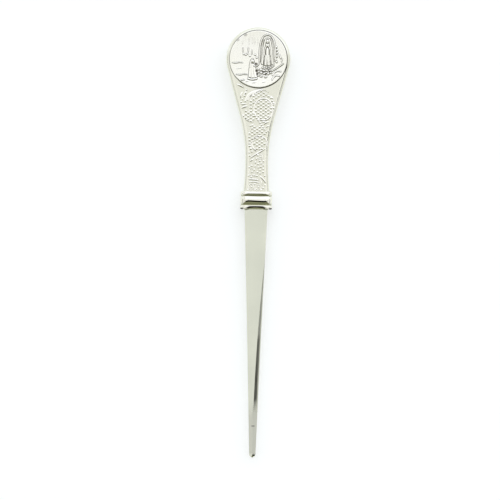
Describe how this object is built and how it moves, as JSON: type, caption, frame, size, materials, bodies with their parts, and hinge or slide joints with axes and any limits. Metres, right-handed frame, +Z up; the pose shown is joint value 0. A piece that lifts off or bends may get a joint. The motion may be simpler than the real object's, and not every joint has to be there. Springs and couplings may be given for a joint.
{
  "type": "letter opener",
  "caption": "Slim silver-coloured letter opener: tapered bevelled blade, beaded ferrule, flat lace-patterned handle widening to a round head with a relief medallion.",
  "frame": {"origin": "under the middle of the opener's length, on its centreline, on the surface that it lies on", "axes": "+Y along the opener from the blade's tip to the head, +Z up out of the face with the medallion, +X to the right of that face"},
  "size_m": [0.0274, 0.1828, 0.0076],
  "materials": {
    "blade_steel": "polished",
    "plated_ferrule": "polished",
    "plated_shell": "polished",
    "medal_metal": "satin",
    "filler_cement": "matte",
    "adhesive": "satin"
  },
  "bodies": {
    "root": {"blade": "blade_steel", "ferrule": "plated_ferrule", "handle_front_shell": "plated_shell", "handle_back_shell": "plated_shell", "handle_filler": "filler_cement", "medallion": "medal_metal", "medallion_adhesive": "adhesive"}
  },
  "joints": []
}
